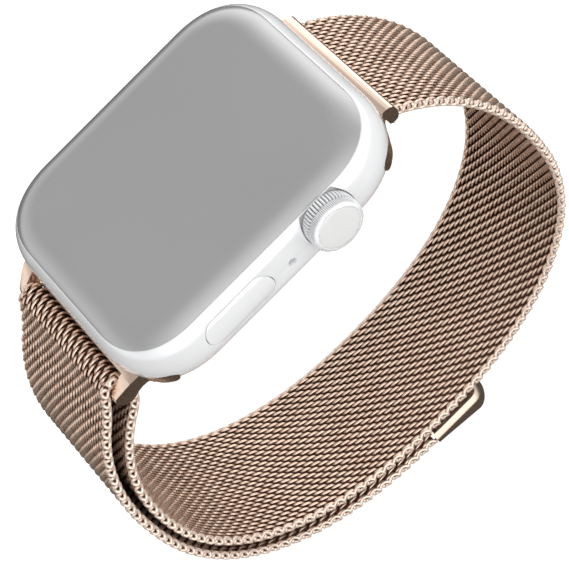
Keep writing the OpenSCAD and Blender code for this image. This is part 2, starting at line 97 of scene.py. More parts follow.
# side outlines of the adapters, as (y, z)
LIP_12 = [(21.86, 2.86), (21.86, 0.45), (22.3, 0.0), (23.1, 0.1), (23.5, 0.6), (23.66, 1.3), (23.6, 1.95),
          (23.42, 2.32), (23.1, 2.56), (22.6, 2.74)]
WALL_6 = [(-21.86, 2.84), (-22.18, 2.8), (-22.18, 1.1), (-21.86, 1.1)]
ARM_6 = [(-20.0, 3.05), (-21.4, 2.98), (-22.4, 2.78), (-23.3, 2.34), (BAR_Y - 0.1, 1.6), (BAR_Y - 0.72, 1.17),
         (BAR_Y - 0.98, 0.55), (BAR_Y - 0.80, -0.12), (BAR_Y - 0.2, -0.5), (BAR_Y + 0.55, -0.42),
         (BAR_Y + 1.3, 0.05), (-22.2, 0.75), (-21.4, 1.05), (-20.0, 1.1)]

# the weave: flat coils run across the strap, and each one hooks its neighbours
PITCH = 1.30          # between the turns of one coil
STEP = 0.85           # between neighbouring coils, along the strap
COIL_A = 0.85         # half width of a coil, along the strap
COIL_B = 0.455        # half depth of a coil, through the strap
STRAIGHT = 0.6        # how nearly the wire runs along the strap on its faces, from 0 to 1
WIRE_R = 0.20
HOOK_R = 0.23         # the wire ends along both edges
HOOK_B = 0.45         # half depth of a wire end's curl
HOOK_LEAN = 0.36      # how far a curl leans inwards at the strap's two faces
CORE_SHADE_B = 0.07         # half depth of the dark sheet of painted shade in the middle of the weave

# ------------------------------------------------------------------ mesh helpers


def new_object(name, verts, faces, smooth=True):
    mesh = bpy.data.meshes.new(name)
    mesh.from_pydata([tuple(v) for v in np.asarray(verts, float) * MM], [], faces)
    mesh.validate()
    ob = bpy.data.objects.new(name, mesh)
    bpy.context.scene.collection.objects.link(ob)
    if smooth:
        mesh.polygons.foreach_set("use_smooth", [True] * len(mesh.polygons))
    return ob


def clean(ob):
    """Recalculates normals outward and merges doubles."""
    bm = bmesh.new()
    bm.from_mesh(ob.data)
    bmesh.ops.remove_doubles(bm, verts=bm.verts, dist=1e-7)
    bmesh.ops.recalc_face_normals(bm, faces=bm.faces)
    bm.to_mesh(ob.data)
    bm.free()
    return ob


def apply_modifiers(ob):
    depsgraph = bpy.context.evaluated_depsgraph_get()
    mesh = bpy.data.meshes.new_from_object(ob.evaluated_get(depsgraph))
    ob.modifiers.clear()
    old = ob.data
    ob.data = mesh
    mesh.name = ob.name
    bpy.data.meshes.remove(old)
    return ob


def boolean(ob, others, operation="DIFFERENCE"):
    """ob with every other object cut from it, joined to it or kept in common with it, in turn."""
    for other in others:
        m = ob.modifiers.new("cut", "BOOLEAN")
        m.operation = operation
        m.solver = "EXACT"
        m.object = other
        apply_modifiers(ob)
        bpy.data.objects.remove(other)
    return ob


def soften(ob, width, segments=3, angle=30.0, shade=40.0):
    """Rounds sharp edges by width in millimetres, and shades the rest smooth below an angle."""
    if width:
        m = ob.modifiers.new("round", "BEVEL")
        m.width = width * MM
        m.segments = segments
        m.limit_method = "ANGLE"
        m.angle_limit = math.radians(angle)
        apply_modifiers(ob)
    ob.data.polygons.foreach_set("use_smooth", [True] * len(ob.data.polygons))
    ob.data.set_sharp_from_angle(angle=math.radians(shade))
    return ob


def prism(name, points, axis, low, high):
    """Extrudes a plane outline along X, Y or Z between low and high."""
    n = len(points)
    at = "xyz".index(axis)
    verts = [(*p[:at], h, *p[at:]) for h in (low, high) for p in points]
    faces = [[i, (i + 1) % n, n + (i + 1) % n, n + i] for i in range(n)]
    faces += [list(range(n - 1, -1, -1)), list(range(n, 2 * n))]
    return clean(new_object(name, verts, faces, smooth=False))


def arc(cx, cy, r, start, end, steps):
    """Points along an arc from one angle to another, in radians."""
    return [(cx + r * math.cos(a), cy + r * math.sin(a)) for a in np.linspace(start, end, steps)]


def circle_points(cx, cy, r, n):
    return arc(cx, cy, r, 0, 2 * math.pi, n + 1)[:-1]


def stadium_points(cx, cy, length, width, n=16):
    """Outline of a slot with round ends, along the first axis."""
    r, d, right = width / 2, (length - width) / 2, math.pi / 2
    return arc(cx + d, cy, r, -right, right, n + 1) + arc(cx - d, cy, r, right, 3 * right, n + 1)


def catmull(a, b, c, d, f):
    """The smooth curve through a, b, c and d, at the part f of the way from b to c."""
    return 0.5 * (2 * b + (c - a) * f + (2 * a - 5 * b + 4 * c - d) * f ** 2 + (3 * b - a - 3 * c + d) * f ** 3)


def revolve_x(name, profile, segments, radius=None):
    """Turns a closed profile of (x, r) about the crown's axis. radius, if given, changes r at each angle."""
    n = len(profile)
    verts, faces = [], []
    for i in range(segments):
        a = 2 * math.pi * i / segments
        for x, r in profile:
            q = radius(r, a) if radius else r
            verts.append((x, CROWN_Y + q * math.cos(a), CROWN_Z + q * math.sin(a)))
    for i in range(segments):
        j = (i + 1) % segments
        for k in range(n):
            m = (k + 1) % n
            faces.append([i * n + k, j * n + k, j * n + m, i * n + m])
    return clean(new_object(name, verts, faces))


def paint(ob, material):
    ob.data.materials.clear()
    ob.data.materials.append(material)


def finish_piece(ob, material, body, replaced):
    paint(ob, material)
    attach(ob, body)
    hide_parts(replaced)

# ------------------------------------------------------------------ the case's outline


def outline(hx, hy, r, per_corner):
    """Closed plan outline with squarish round corners."""
    pts = []
    for quarter in range(4):
        sx, sy = [(1, 1), (-1, 1), (-1, -1), (1, -1)][quarter]
        for i in range(per_corner + 1):
            a = math.radians(90 * quarter + 90 * i / per_corner)
            c, s = math.cos(a), math.sin(a)
            q = (abs(c) ** CORNER_POWER + abs(s) ** CORNER_POWER) ** (-1 / CORNER_POWER)
            pts.append((sx * (hx - r) + r * q * c, sy * (hy - r) + r * q * s))
    return pts


def loft(name, rings, per_corner=28):
    """Solid through rings of (inset, z) of the case's outline."""
    verts, faces = [], []
    n = 4 * (per_corner + 1)
    for inset, z in rings:
        verts += [(x, y, z) for x, y in outline(CASE_HX - inset, CASE_HY - inset, CASE_R - inset, per_corner)]
    for k in range(len(rings) - 1):
        for i in range(n):
            j = (i + 1) % n
            faces.append([k * n + i, k * n + j, (k + 1) * n + j, (k + 1) * n + i])
    last = (len(rings) - 1) * n
    faces += [list(range(n - 1, -1, -1)), [last + i for i in range(n)]]
    return clean(new_object(name, verts, faces))


def tablet(name, hx, hy, z0, z1):
    """Prism of the case's outline, drawn in to a half width and a half length."""
    r = max(2.0, CASE_R - (CASE_HX - hx))
    return prism(name, outline(hx, hy, r, 20), "z", z0, z1)


def lower_ring(angle, out=0.0):
    """Inset and z of the case's lower curve, at an angle below its widest line, grown by out."""
    c, s = math.cos(math.radians(angle)), math.sin(math.radians(angle))
    return LOWER_REACH - (LOWER_REACH + out) * c, WAIST_Z - (WAIST_Z + out) * s


def upper_ring(angle, out=0.0):
    """The same for the upper curve, which the crystal goes on with."""
    c, s = math.cos(math.radians(angle)), math.sin(math.radians(angle))
    return UPPER_REACH - (UPPER_REACH + out) * c, WAIST_Z + (TOP_Z - WAIST_Z + out) * s


def case_rings(out=0.0):
    """From the back up to the crystal's seam."""
    rings = [lower_ring(a, out) for a in np.linspace(90, 0, 19)[:-1]]
    rings += [upper_ring(a, out) for a in np.linspace(0, SEAM_ANGLE, 13)]
    return rings

# ------------------------------------------------------------------ materials


SILVER = (0.90, 0.905, 0.915)
ROSE = (0.97, 0.75, 0.615)
# the part of a noise texture's range that a tint or a roughness is spread over
NOISE_LOW, NOISE_HIGH = 0.3, 0.7


class Nodes:
    """A small builder for one material's node tree."""

    def __init__(self, name, **values):
        self.material = bpy.data.materials.new(name)
        self.material.use_nodes = True
        self.tree = self.material.node_tree
        self.shader = self.tree.nodes["Principled BSDF"]
        self.coords = self.new("TexCoord").outputs["Object"]
        for key, value in values.items():
            self.shader.inputs[key.replace("_", " ")].default_value = value

    def new(self, kind):
        return self.tree.nodes.new("ShaderNode" + kind)

    def link(self, a, b):
        self.tree.links.new(a, b)

    def noise(self, scale, detail=4.0, stretch=None):
        n = self.new("TexNoise")
        n.inputs["Scale"].default_value = scale
        n.inputs["Detail"].default_value = detail
        n.inputs["Roughness"].default_value = 0.55
        source = self.coords
        if stretch:
            m = self.new("Mapping")
            m.inputs["Scale"].default_value = stretch
            self.link(self.coords, m.inputs["Vector"])
            source = m.outputs["Vector"]
        self.link(source, n.inputs["Vector"])
        return n.outputs["Fac"]

    def spread(self, noise, low, high):
        m = self.new("MapRange")
        m.inputs["From Min"].default_value = NOISE_LOW
        m.inputs["From Max"].default_value = NOISE_HIGH
        m.inputs["To Min"].default_value = low
        m.inputs["To Max"].default_value = high
        self.link(noise, m.inputs["Value"])
        return m.outputs["Result"]

    def painted_shade_by(self, attribute, noise, uneven):
        """An attribute of the mesh's points, made a little uneven by a noise, that sets painted shade and painted
        highlight.
        """
        value = self.new("Attribute")
        value.attribute_name = attribute
        total = self.new("Math")
        self.link(value.outputs["Fac"], total.inputs[0])
        self.link(self.spread(noise, -uneven, uneven), total.inputs[1])
        return total.outputs[0]

    def colour(self, value, stops):
        r = self.new("ValToRGB")
        fill_ramp(r.color_ramp.elements, stops)
        self.link(value, r.inputs["Fac"])
        self.link(r.outputs["Color"], self.shader.inputs["Base Color"])

    def tint(self, noise, dark, light):
        self.colour(noise, [(NOISE_LOW, dark), (NOISE_HIGH, light)])

    def roughness(self, noise, low, high):
        self.link(self.spread(noise, low, high), self.shader.inputs["Roughness"])

    def bump(self, height, strength, distance):
        b = self.new("Bump")
        b.inputs["Strength"].default_value = strength
        b.inputs["Distance"].default_value = distance
        self.link(height, b.inputs["Height"])
        self.link(b.outputs["Normal"], self.shader.inputs["Normal"])


def fill_ramp(elements, stops):
    while len(elements) < len(stops):
        elements.new(0.5)
    for element, (at, colour) in zip(elements, stops):
        element.position = at
        element.color = (*colour, 1.0)


def shade(colour, k):
    return tuple(min(1.0, c * k) for c in colour)


def metal(name, colour, rough, grain=900.0, stretch=None, bump=0.02):
    n = Nodes(name, Metallic=1.0)
    n.tint(n.noise(grain * 0.25, 3.0), shade(colour, 0.95), shade(colour, 1.03))
    fine = n.noise(grain, 5.0, stretch)
    n.roughness(fine, rough - 0.05, rough + 0.05)
    n.bump(fine, bump, 0.02 * MM)
    return n.material


def moulded(name, colour, rough, coat=0.0):
    n = Nodes(name, Coat_Weight=coat)
    n.tint(n.noise(300.0, 3.0), shade(colour, 0.88), shade(colour, 1.08))
    fine = n.noise(3000.0)
    n.roughness(fine, rough - 0.06, rough + 0.06)
    n.bump(fine, 0.15, 0.03 * MM)
    return n.material


def case_metal():
    n = Nodes("polished_silver", Metallic=0.14, Coat_Weight=0.9, Coat_Roughness=0.05)
    n.tint(n.noise(60.0, 3.0), SILVER, shade(SILVER, 1.015))
    n.roughness(n.noise(400.0, 2.0), 0.22, 0.27)
    return n.material


def knurled_metal():
    """The case's metal, with painted shade: grey darkening in the grooves between the crown's teeth."""
    n = Nodes("crown_knurled_silver", Metallic=0.3, Coat_Weight=0.3, Coat_Roughness=0.08)
    depth = n.painted_shade_by("groove_shade", n.noise(900.0, 3.0), 0.08)
    # painted shade: silver on the teeth, grey and then dark grey deeper between them
    n.colour(depth, [(0.12, SILVER), (0.5, (0.62, 0.62, 0.63)), (0.95, (0.27, 0.27, 0.275))])
    n.roughness(n.noise(500.0), 0.2, 0.28)
    return n.material


def crown_gloss():
    n = Nodes("crown_cap_gloss", Metallic=0.15, Coat_Weight=0.6, Coat_Roughness=0.04)
    n.tint(n.noise(90.0, 2.0), (0.86, 0.86, 0.85), (0.90, 0.90, 0.89))
    n.roughness(n.noise(700.0), 0.16, 0.22)
    return n.material


def crystal_glass():
    """The cover over a display that is off: an even grey under a hard, clear top coat."""
    n = Nodes("crystal_over_panel", Coat_Weight=1.0, Coat_Roughness=0.12, Coat_IOR=2.0, IOR=1.45)
    n.tint(n.noise(35.0, 2.0), (0.326, 0.326, 0.327), (0.342, 0.342, 0.343))
    n.roughness(n.noise(60.0, 2.0), 0.22, 0.26)
    return n.material


def mesh_wire():
    """Rose gold wire, with painted highlight and painted shade: bright where it stands proud, brown where it dives
    between its neighbours.
    """
    n = Nodes("rose_gold_wire", Metallic=0.85)
    height = n.painted_shade_by("height", n.noise(420.0), 0.06)
    # painted shade in the dips and a painted highlight along each ridge, set by how far the wire stands proud
    n.colour(height, [(0.40, (0.12, 0.045, 0.021)), (0.62, (0.38, 0.22, 0.145)),
                      (0.84, ROSE), (1.0, shade(ROSE, 1.05))])
    draw = n.noise(5200.0, stretch=(0.25, 1.0, 1.0))
    n.roughness(draw, 0.24, 0.36)
    n.bump(draw, 0.05, 0.01 * MM)
    return n.material


def wire_ends():
    """The wire ends along the edges, with a painted highlight towards the outer edge and painted shade where they
    dive in.
    """
    n = Nodes("rose_gold_wire_ends", Metallic=0.5)
    height = n.painted_shade_by("height", n.noise(600.0), 0.08)
    n.colour(height, [(0.30, (0.12, 0.045, 0.022)), (0.62, (0.50, 0.32, 0.23)), (0.90, (1.0, 0.82, 0.70))])
    n.roughness(n.noise(4200.0), 0.22, 0.34)
    return n.material


# a dark sheet's material: painted shade standing in for the shaded inner coils
def weave_core_painted_shade():
    n = Nodes("weave_core_painted_shade", Metallic=0.2)
    n.tint(n.noise(2400.0, 3.0), (0.09, 0.036, 0.018), (0.14, 0.058, 0.029))
    n.roughness(n.noise(1200.0), 0.5, 0.7)
    return n.material


def clasp_metal():
    """Finely brushed rose gold, painted darker as a shaded copy, because it faces the brightest part of the sky."""
    n = Nodes("rose_gold_clasp", Metallic=0.94)
    n.tint(n.noise(60.0, 3.0), (0.60, 0.48, 0.395), (0.64, 0.515, 0.425))
    n.roughness(n.noise(700.0, 2.0, (1.0, 0.08, 1.0)), 0.20, 0.26)
    return n.material


def rose_metal():
    n = Nodes("rose_gold_polished", Metallic=1.0)
    # a shaded copy: the rose gold is painted a little darker here, so the bright glows do not wash out the adapters
    n.tint(n.noise(180.0, 3.0), shade(ROSE, 0.88), shade(ROSE, 0.93))
    fine = n.noise(1800.0, 3.0, (0.1, 1.0, 1.0))
    n.roughness(fine, 0.24, 0.32)
    n.bump(fine, 0.01, 0.01 * MM)
    return n.material


def board_material():
    n = Nodes("solder_mask", Coat_Weight=0.5)
    cells = n.new("TexVoronoi")
    cells.inputs["Scale"].default_value = 900.0
    n.link(n.coords, cells.inputs["Vector"])
    n.colour(cells.outputs["Distance"], [(0.05, (0.55, 0.42, 0.18)), (0.18, (0.03, 0.12, 0.07)),
                                         (0.7, (0.02, 0.09, 0.05))])
    n.roughness(n.noise(1500.0), 0.3, 0.45)
    return n.material


def dark_lens():
    n = Nodes("back_lens", Coat_Weight=1.0, Coat_Roughness=0.02)
    n.tint(n.noise(120.0), (0.012, 0.012, 0.014), (0.02, 0.02, 0.023))
    n.roughness(n.noise(900.0), 0.08, 0.14)
    return n.material

# ------------------------------------------------------------------ case, crystal and keys


def slot_outline(sign, r, half_mouth, lip, reach, steps):
    """Side outline of a strap slot with its open mouth, or of the insert that fills it.

    lip is the angle at which the mouth starts, and steps the number of points round the closed end."""
    up = math.pi / 2
    pts = arc(SLOT_Y0, SLOT_Z, r, up, 3 * up, steps) + arc(SLOT_Y1, SLOT_Z, r, -up, -lip, 9)
    pts += [(reach, SLOT_Z - half_mouth), (reach, SLOT_Z + half_mouth)] + arc(SLOT_Y1, SLOT_Z, r, lip, up, 9)
    return [(sign * y, z) for y, z in pts]


def build_case(material):
    ob = loft("case_body", case_rings())
    cutters = [tablet("room", *room) for room in CASE_ROOMS]
    for sign in (1, -1):
        slot = slot_outline(sign, SLOT_R, MOUTH_H / 2, SLOT_LIP, 26, 17)
        cutters.append(prism("slot", slot, "x", -30, 30))
    for sign in (1, -1):
        release = stadium_points(0, sign * RELEASE_Y, RELEASE_L + 0.1, RELEASE_W + 0.1)
        cutters.append(prism("release_hole", release, "z", -2, SLOT_Z))
    button = stadium_points(BUTTON_Y, WAIST_Z, BUTTON_LEN + 2 * BUTTON_GAP, BUTTON_H + 2 * BUTTON_GAP, 24)
    for outline_points, low, high in (
            (circle_points(CROWN_Y, CROWN_Z, CROWN_R + CROWN_GAP, 96), CASE_HX - 1.3, 25),
            (circle_points(CROWN_Y, CROWN_Z, CROWN_HOLE_R, 48), 12, CASE_HX),
            (button, CASE_HX - 1.6, 25),
            (circle_points(BUTTON_Y, WAIST_Z, STEM_HOLE_R, 32), 12, CASE_HX),
            (circle_points(MIC_Y, MIC_Z, MIC_R, 40), 12, 25)):
        cutters.append(prism("hole", outline_points, "x", low, high))
    for y in (-SPEAKER_Y, SPEAKER_Y):
        speaker = stadium_points(y, WAIST_Z, SPEAKER_LEN, SPEAKER_W, 12)
        cutters.append(prism("speaker_slot", speaker, "x", -21, -13))
    boolean(ob, cutters)
    soften(ob, 0.07, 2, angle=35, shade=30)
    finish_piece(ob, material, "head", "case")


def build_crystal(material):
    """Cover glass: a rounded lip at the seam, then the long curve up to the flat top."""
    lip, curve = SEAM_ANGLE + 1.1, SEAM_ANGLE + 2.5
    (r0, z0), (r1, z1) = upper_ring(lip), upper_ring(curve)
    rings = [(r0 + 0.55, z0 - 0.02), (r0 + 0.14, z0 - 0.01), (r0 + 0.04, z0 + 0.03)]
    rings.append(((r0 + r1) / 2 + 0.005, (z0 + z1) / 2))
    rings += [upper_ring(a) for a in np.linspace(curve, 89.9, 34)]
    rings += [(rings[-1][0] + 0.4, TOP_Z), (rings[-1][0] + 2.5, TOP_Z)]
    ob = loft("cover_crystal", rings, 36)
    soften(ob, 0, shade=50)
    finish_piece(ob, material, "head", "front_crystal")


def build_side_key(material):
    """The key is cut from the case's own shape, so its face follows the case's side."""
    ob = prism("side_key_cap", stadium_points(BUTTON_Y, WAIST_Z, BUTTON_LEN, BUTTON_H, 28), "x", CASE_HX - 1.2, 25)
    boolean(ob, [loft("case_shape", case_rings())], "INTERSECT")
    soften(ob, 0.12, 3, angle=35, shade=30)
    finish_piece(ob, material, "side_key", "side_button")


def knurl(count, depth, power):
    """Radius change for rounded teeth round the outside of a drum."""
    def radius(r, a):
        wave = abs(math.sin(count * a / 2)) ** power
        return r - depth * (1 - wave) if r > CROWN_R / 2 else r
    return radius


def mark_grooves(ob, count, low, high):
    """Writes how far each point lies between two teeth, for the painted shade in the grooves, from x = low to high.
    """
    co = np.empty(len(ob.data.vertices) * 3, np.float32)
    ob.data.vertices.foreach_get("co", co)
    x, y, z = co.reshape(-1, 3).T / MM
    y, z = y - CROWN_Y, z - CROWN_Z
    between = 1 - np.abs(np.sin(count * np.arctan2(z, y) / 2))
    toothed = (x > low) & (x < high) & (np.hypot(y, z) > CROWN_R / 2)
    values = np.where(toothed, between, 0).astype(np.float32)
    ob.data.attributes.new("groove_shade", "FLOAT", "POINT").data.foreach_set("value", values)


def build_crown(cap):
    """A toothed drum by the case, a finer toothed rim and a smooth cap, as profiles of (x, r)."""
    knurled = knurled_metal()
    back, mid, front, r, bore = CASE_HX - 0.9, CASE_HX + 0.62, CASE_HX + CROWN_OUT, CROWN_R, 0.3
    drum = [(back, bore), (back, r - 0.35), (back + 0.2, r - 0.12), (back + 0.45, r), (mid - 0.2, r),
            (mid - 0.05, r - 0.06), (mid, r - 0.16), (mid, bore)]
    ob = revolve_x("crown_collar", drum, 480, knurl(DRUM_TEETH, 0.26, 0.8))
    mark_grooves(ob, DRUM_TEETH, back, mid + 0.1)
    soften(ob, 0, shade=28)
    finish_piece(ob, knurled, "crown", "crown_drum")
    rim = [(mid + 0.02, bore), (mid + 0.02, r - 0.30), (mid + 0.12, r - 0.28), (mid + 0.2, r - 0.06),
           (mid + 0.3, r - 0.01), (front - 0.5, r - 0.02), (front - 0.32, r - 0.10), (front - 0.1, r - 0.30),
           (front - 0.02, r - 0.50), (front - 0.06, r - 0.62), (front - 0.4, r - 0.66), (front - 0.4, bore)]
    ob = revolve_x("crown_ring", rim, 480, knurl(RIM_TEETH, 0.10, 0.9))
    mark_grooves(ob, RIM_TEETH, mid + 0.1, front - 0.4)
    soften(ob, 0, shade=28)
    finish_piece(ob, knurled, "crown", "crown_rim")
    face = [(front - 0.42, 0.02), (front - 0.42, r - 0.70), (front - 0.14, r - 0.70), (front - 0.07, r - 0.76),
            (front - 0.04, r - 0.9), (front - 0.015, 1.6), (front, 0.8), (front, 0.02)]
    ob = revolve_x("crown_face", face, 128)
    soften(ob, 0, shade=40)
    finish_piece(ob, cap, "crown", "crown_cap")

# ------------------------------------------------------------------ the strap's curves


def superellipse(a, b, p, z, t):
    """The point at angle t of a squarish ellipse round (0, z)."""
    c, s = math.cos(math.radians(t)), math.sin(math.radians(t))
    return np.array([a * math.copysign(abs(c) ** (2 / p), c), z + b * math.copysign(abs(s) ** (2 / p), s)])


def bezier(p, t):
    return (1 - t) ** 3 * p[0] + 3 * (1 - t) ** 2 * t * p[1] + 3 * (1 - t) * t * t * p[2] + t ** 3 * p[3]


class Curve:
    """A centreline in the YZ plane, by length from its start. The strap's outer side is on its left."""

    def __init__(self, points):
        p = np.array(points, float)
        keep = np.concatenate([[True], np.linalg.norm(np.diff(p, axis=0), axis=1) > 1e-6])
        p = p[keep]
        s = np.concatenate([[0], np.cumsum(np.linalg.norm(np.diff(p, axis=0), axis=1))])
        self.length = s[-1]
        grid = np.arange(0, self.length, 0.1)
        q = np.stack([np.interp(grid, s, p[:, k]) for k in (0, 1)], 1)
        d = np.gradient(q, axis=0)
        d /= np.linalg.norm(d, axis=1)[:, None]
        kernel = np.hanning(9)[1:-1]
        kernel /= kernel.sum()
        for k in (0, 1):
            d[:, k] = np.convolve(np.pad(d[:, k], 3, mode="edge"), kernel, mode="valid")
        self.grid, self.q, self.d = grid, q, d / np.linalg.norm(d, axis=1)[:, None]

    def at(self, s):
        s = np.asarray(s, float)
        q = np.stack([np.interp(s, self.grid, self.q[:, k]) for k in (0, 1)], -1)
        d = np.stack([np.interp(s, self.grid, self.d[:, k]) for k in (0, 1)], -1)
        d /= np.linalg.norm(d, axis=-1)[..., None]
        before = np.minimum(s, 0)[..., None] * d
        after = np.maximum(s - self.grid[-1], 0)[..., None] * d
        return q + before + after, np.stack([-d[..., 1], d[..., 0]], -1)

    def place(self, x, t, n):
        """Points for arrays of x across, t along and n outward."""
        q, normal = self.at(t)
        yz = q + normal * np.asarray(n)[..., None]
        return np.stack([np.broadcast_to(x, yz.shape[:-1]), yz[..., 0], yz[..., 1]], -1)


# half widths, depths and centre heights of the loop round the wrist and of the layer outside it
LOOP_RIGHT, LOOP_LEFT, LOOP_LOW, LOOP_Z = 34.8, 33.4, 52.9, -26.0
RETURN_LEFT, RETURN_LOW, RETURN_Z = 35.4, 55.6, -25.5
# how far their curves would rise above those centres, if they went on over the case
LOOP_RISE_12, LOOP_RISE_6, RETURN_RISE = 33.1, 29.0, 33.4
UPPER_POWER, LOWER_POWER = 2.3, 2.2
# where the loop leaves the 12 o'clock adapter and nears the bar, and where the return comes off the bar
START_ANGLE, JOIN_ANGLE, LEAVE_ANGLE, WRAP_EXIT = 52.4, 137.0, 143.0, 155.0
BAR_WRAP = BAR_R + 0.08 + HALF_T


def loop_points():
    depth = LOOP_LOW + LOOP_Z
    pts = [superellipse(LOOP_RIGHT, LOOP_RISE_12, UPPER_POWER, LOOP_Z, t) for t in np.arange(START_ANGLE, 0, -1)]
    pts += [superellipse(LOOP_RIGHT, depth, LOWER_POWER, LOOP_Z, t) for t in np.arange(0, -90, -1)]
    pts += [superellipse(LOOP_LEFT, depth, LOWER_POWER, LOOP_Z, t) for t in np.arange(-90, -180, -1)]
    pts += [superellipse(LOOP_LEFT, LOOP_RISE_6, UPPER_POWER, LOOP_Z, t) for t in np.arange(180, JOIN_ANGLE, -1)]
    join = superellipse(LOOP_LEFT, LOOP_RISE_6, UPPER_POWER, LOOP_Z, JOIN_ANGLE)
    end = np.array([BAR_Y + BAR_WRAP, BAR_Z])
    return pts + [bezier([join, join + [2.4, 2.2], end - [0, 2.6], end], t) for t in np.linspace(0, 1, 21)]


def return_points():
    """Round the bar, then down outside the loop as far as the clasp's start."""
    pts = [np.array(p) for p in arc(BAR_Y, BAR_Z, BAR_WRAP, 0, math.radians(WRAP_EXIT), 40)]
    e = math.radians(WRAP_EXIT)
    join = superellipse(RETURN_LEFT, RETURN_RISE, UPPER_POWER, RETURN_Z, LEAVE_ANGLE)
    ctrl = [pts[-1], pts[-1] + 1.4 * np.array([-math.sin(e), math.cos(e)]), join + [1.6, 1.9], join]
    pts += [bezier(ctrl, t) for t in np.linspace(0, 1, 15)[1:]]
    pts += [superellipse(RETURN_LEFT, RETURN_RISE, UPPER_POWER, RETURN_Z, t) for t in np.arange(LEAVE_ANGLE, 180, 1)]
    depth = RETURN_LOW + RETURN_Z
    pts += [superellipse(RETURN_LEFT, depth, UPPER_POWER, RETURN_Z, t) for t in np.arange(180, 269, 1)]
    return [p for p in pts if p[0] <= CLASP_Y0]


LOOP = Curve(loop_points())
RETURN = Curve(return_points())
# the return runs the other way round, so its outer side is on its right
RETURN_SIDE = -1

# ------------------------------------------------------------------ adapters


def slot_half(y):
    """Half width of the case at the slots' height, at a place along it."""
    below = math.degrees(math.asin((WAIST_Z - SLOT_Z) / WAIST_Z))
    inset = lower_ring(below)[0]
    r = CASE_R - inset
    dy = max(0.0, y - (CASE_HY - inset - r)) / r
    return CASE_HX - inset - r + r * max(0.0, 1 - dy ** CORNER_POWER) ** (1 / CORNER_POWER)


def smooth_through(points, steps=8):
    """Points along a smooth curve through the ones given."""
    p = np.array([points[0]] + list(points) + [points[-1]], float)
    fractions = np.linspace(0, 1, steps, endpoint=False)
    return [tuple(catmull(*p[k:k + 4], f)) for k in range(len(p) - 3) for f in fractions] + [tuple(p[-1])]


def adapter_plan(sign, leave, tip):
    """Cutter with an adapter's plan: along the case's corner, then on smoothly through the points of tip."""
    half = [(slot_half(y) - 0.08, y) for y in np.linspace(17.0, leave, 14)]
    half += smooth_through([half[-1]] + tip)[1:]
    points = half + [(-x, y) for x, y in reversed(half)]
    return prism("plan", [(x, sign * y) for x, y in points], "z", -5, 10)


def latch_pocket(sign):
    """Cutters that leave room for a release button and its latch."""
    button = stadium_points(0, sign * RELEASE_Y, RELEASE_L + 0.2, RELEASE_W + 0.2)
    latch = stadium_points(0, sign * RELEASE_Y, 5.5, 1.1)
    return [prism("pocket", button, "z", 0, SLOT_Z - SLOT_R + 0.7), prism("pocket", latch, "z", 0, SLOT_Z + 0.72)]


def finish_adapter(ob, sign, material, node):
    boolean(ob, latch_pocket(sign))
    soften(ob, 0.2, 3, angle=32, shade=35)
    finish_piece(ob, material, "strap", node)


def insert_outline(sign):
    """Side outline of an adapter's insert, which fills its slot but for a small gap."""
    r, half_mouth = SLOT_R - SLOT_GAP, MOUTH_H / 2 - SLOT_GAP
    return slot_outline(sign, r, half_mouth, math.asin(half_mouth / r), INSERT_REACH, 21)


def build_adapter_top(material):
    """The insert in the 12 o'clock slot, with a rounded lip that the strap goes into."""
    ob = prism("adapter_12", insert_outline(1), "x", -20, 20)
    boolean(ob, [prism("lip", LIP_12, "x", -20, 20)], "UNION")
    w = STRAP_W / 2 + 0.28
    tip = [(w + 0.62, 21.35), (w + 0.18, 21.8), (w, 22.5), (w, 25)]
    boolean(ob, [adapter_plan(1, 20.9, tip)], "INTERSECT")
    start, ahead = LOOP.at(0.0)[0], LOOP.at(1.0)[0]
    d = (ahead - start) / np.linalg.norm(ahead - start)
    out = np.array([-d[1], d[0]]) * (HALF_T + 0.05)
    room = [start + out - d * 0.05, start - out - d * 0.05, start - out + d * 6, start + out + d * 6]
    boolean(ob, [prism("strap_room", [tuple(p) for p in room], "x", -STRAP_W / 2 - 0.05, STRAP_W / 2 + 0.05)])
    finish_adapter(ob, 1, material, "adapter_top")


def build_adapter_bottom(material):
    """The insert in the 6 o'clock slot, with two arms that carry the bar."""
    ob = prism("adapter_6", insert_outline(-1), "x", -20, 20)
    parts = [prism("wall", WALL_6, "x", -20, 20)]
    for sign in (1, -1):
        x0, x1 = sorted((sign * (STRAP_W / 2 + 0.2), sign * (STRAP_W / 2 + 4)))
        parts.append(prism("arm", ARM_6, "x", x0, x1))
    parts.append(prism("bar", circle_points(BAR_Y, BAR_Z, BAR_R, 40), "x", -STRAP_W / 2 - 1, STRAP_W / 2 + 1))
    boolean(ob, parts, "UNION")
    w = STRAP_W / 2 + 1.4
    tip = [(w + 1.33, 20.5), (w + 1.15, 21.3), (w + 0.95, 22.3), (w + 0.62, 23.3), (w + 0.15, 24.4), (w - 0.4, 25.6)]
    boolean(ob, [adapter_plan(-1, 20.0, tip)], "INTERSECT")
    # the arms stay clear of the case, all but the insert in its slot
    case_room = loft("case_room", [(-0.05, -0.6)] + case_rings(0.05) + [(UPPER_REACH * 0.27, 9.0)], 20)
    low, high = SLOT_Z - SLOT_R - 0.02, SLOT_Z + SLOT_R + 0.02
    boolean(case_room, [prism("slot_room", [(-30, low), (30, low), (30, high), (-30, high)], "y", -20.3, 30)])
    boolean(ob, [case_room])
    finish_adapter(ob, -1, material, "adapter_bottom")

# ------------------------------------------------------------------ the woven wire
# Paths are in the strap's own measures: x across, t along and n through it, from its middle.

# the order of a woven piece's materials
WIRE, WIRE_ENDS, CORE_SHADE = 0, 1, 2


